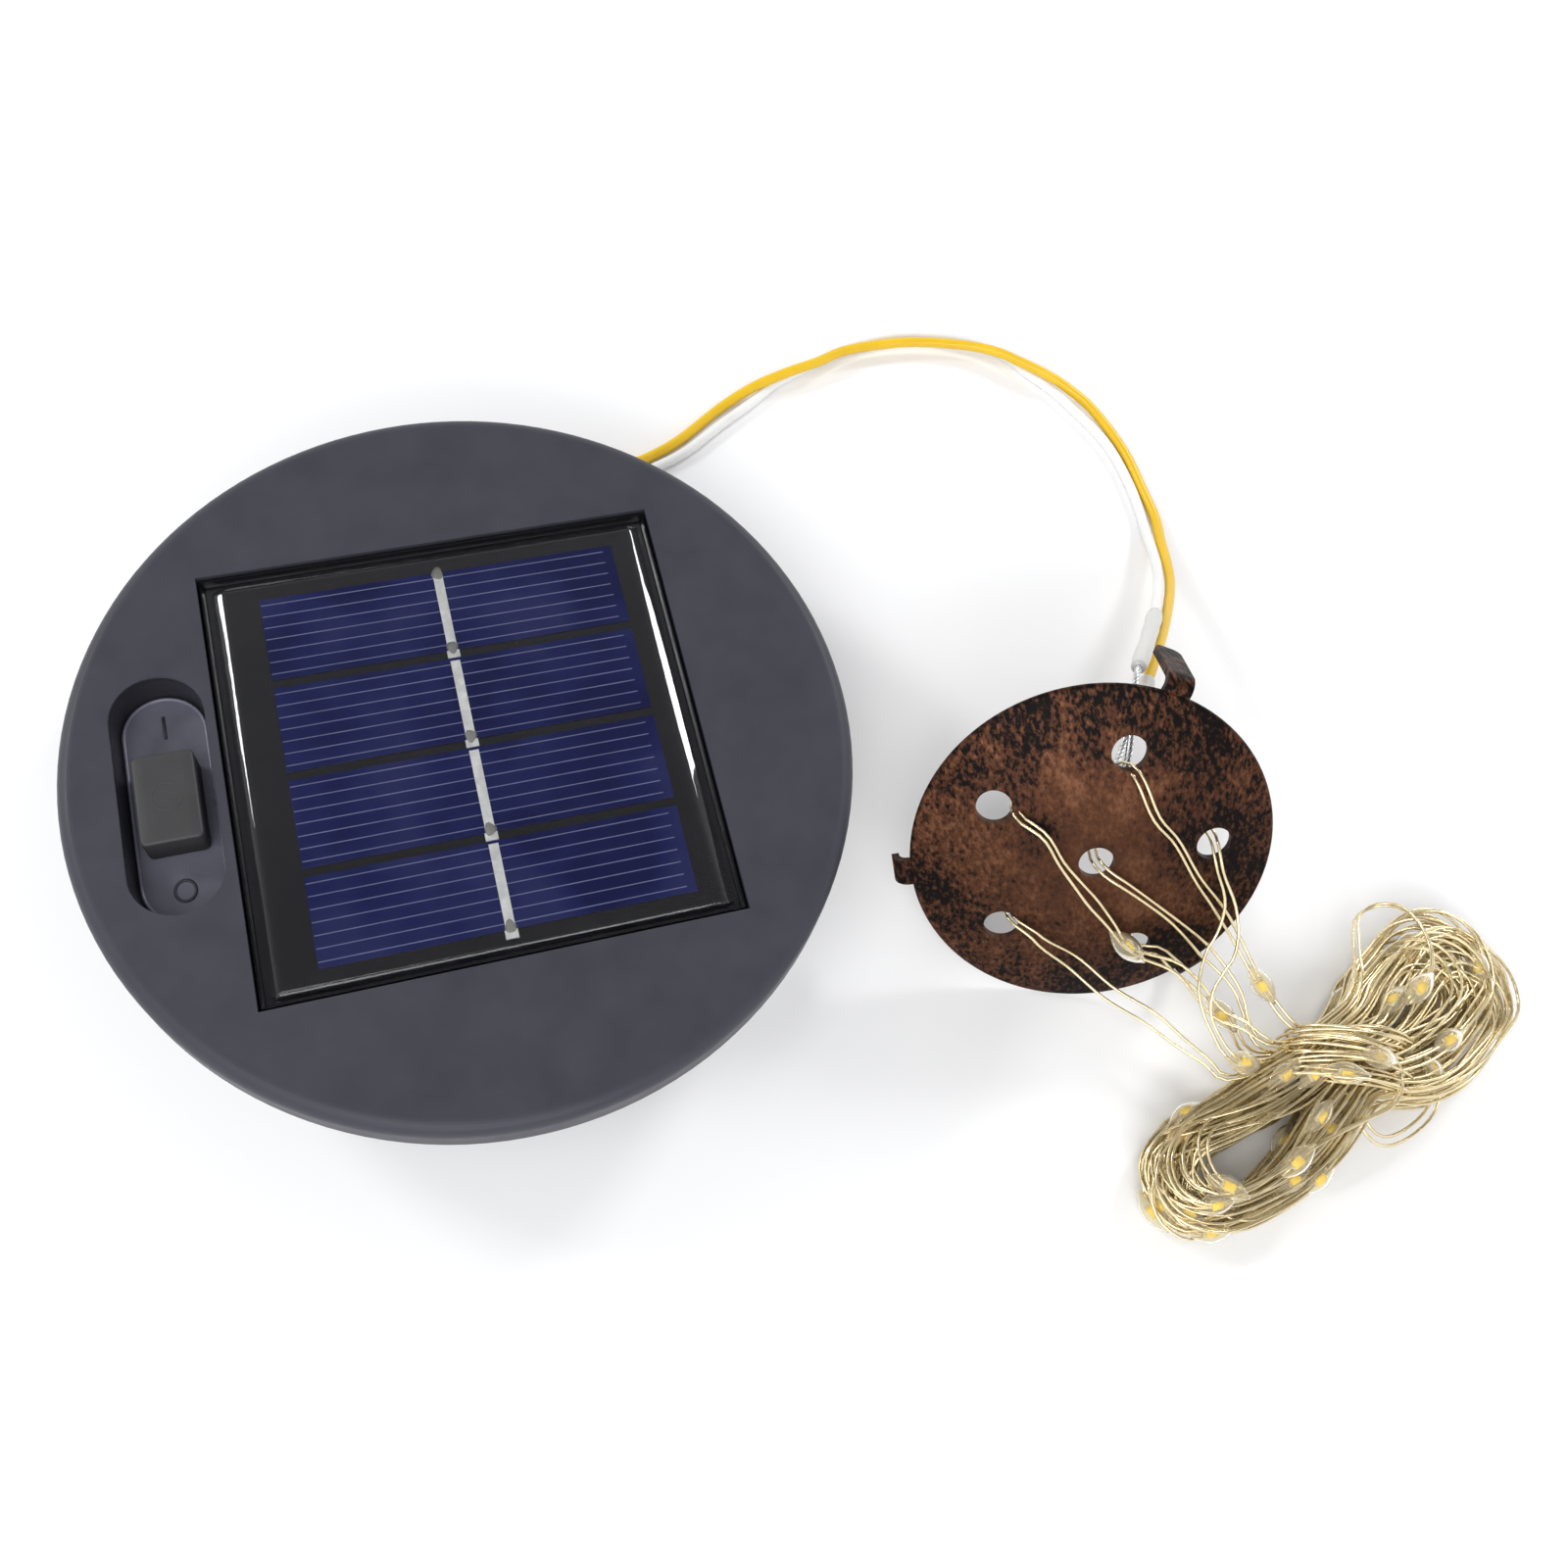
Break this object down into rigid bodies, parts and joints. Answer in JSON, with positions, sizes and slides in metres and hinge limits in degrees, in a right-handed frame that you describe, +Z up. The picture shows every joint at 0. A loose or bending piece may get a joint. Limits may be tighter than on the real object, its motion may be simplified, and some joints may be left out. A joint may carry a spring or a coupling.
{
  "type": "solar string lights",
  "caption": "Round solar lid with a slide switch and battery cup, wired to a domed plate whose holes feed LED light strings tied in a bow-shaped hank.",
  "frame": {"origin": "on the round lid's axis, on the surface that the battery cup stands on", "axes": "+Z up through the lid; +X towards the domed plate and the hank, with the switch at -X; +Y along the switch's travel, towards the side where the two leads leave the cup"},
  "size_m": [0.1525, 0.1234, 0.0321],
  "materials": {
    "lid_plastic": "matte moulded plastic",
    "cup_plastic": "matte moulded plastic",
    "board_black": "black solder resist",
    "cell_blue": "dark indigo silicon with thin silver fingers",
    "ribbon_tin": "tinned ribbon",
    "panel_resin": "poured clear resin",
    "knob_plastic": "satin moulded plastic",
    "switch_metal": "pressed steel case",
    "contact_metal": "nickel plated",
    "black_rubber": "soft rubber",
    "screw_steel": "zinc plated",
    "battery_wrap": "plain printed sleeve",
    "board_green": "solder resist",
    "chip_black": "moulded epoxy",
    "inductor_green": "ferrite and enamelled coil",
    "capacitor_blue": "shrunk sleeve",
    "wire_red": "insulated wire",
    "wire_black": "insulated wire",
    "wire_blue": "insulated wire",
    "wire_yellow": "insulated wire",
    "wire_white": "insulated wire",
    "clear_sleeve": "milky heat-shrink sleeve",
    "tinned_wire": "bare twisted and soldered strands",
    "clear_glue": "hot-melt glue",
    "copper_patina": "antique copper with dark patina",
    "string_wire": "champagne enamelled fine wire",
    "led_lens": "clear glue drop",
    "led_chip": "yellow phosphor chip"
  },
  "bodies": {
    "main": {"lid_shell": "lid_plastic", "panel_board": "board_black", "cell_ribbons": "ribbon_tin", "panel_resin": "panel_resin", "switch_body": "switch_metal", "switch_pins": "contact_metal", "housing_gasket": "black_rubber", "housing_cup": "cup_plastic", "housing_screws": "screw_steel", "battery_door": "cup_plastic", "battery_door_screw": "screw_steel", "battery": "battery_wrap", "battery_contact_plus": "contact_metal", "battery_contact_minus": "contact_metal", "battery_spring": "contact_metal", "circuit_board": "board_green", "board_screws": "screw_steel", "driver_chip": "chip_black", "inductor": "inductor_green", "capacitor": "capacitor_blue", "panel_lead_red": "wire_red", "panel_lead_black": "wire_black", "battery_lead_red": "wire_red", "battery_lead_black": "wire_black", "switch_lead_1": "wire_blue", "switch_lead_2": "wire_blue", "inner_lead_yellow": "wire_yellow", "inner_lead_white": "wire_white", "wire_grommet": "black_rubber", "lead_wire_yellow": "wire_yellow", "lead_wire_white": "wire_white", "sleeve_yellow": "clear_sleeve", "sleeve_white": "clear_sleeve", "solder_joint_yellow": "tinned_wire", "solder_joint_white": "tinned_wire", "glue_blob": "clear_glue", "rose_plate": "copper_patina", "string_hank": "string_wire", "solar_cell_1": "cell_blue", "solar_cell_2": "cell_blue", "solar_cell_3": "cell_blue", "solar_cell_4": "cell_blue", "light_string_1": "string_wire", "light_string_2": "string_wire", "light_string_3": "string_wire", "light_string_4": "string_wire", "light_string_5": "string_wire", "light_string_6": "string_wire"},
    "knob": {"switch_knob": "knob_plastic"}
  },
  "joints": [
    {"name": "switch_slide", "type": "slide", "parent": "main", "child": "knob", "axis": [0, 1, 0], "range_m": [-0.002, 0.002]}
  ]
}
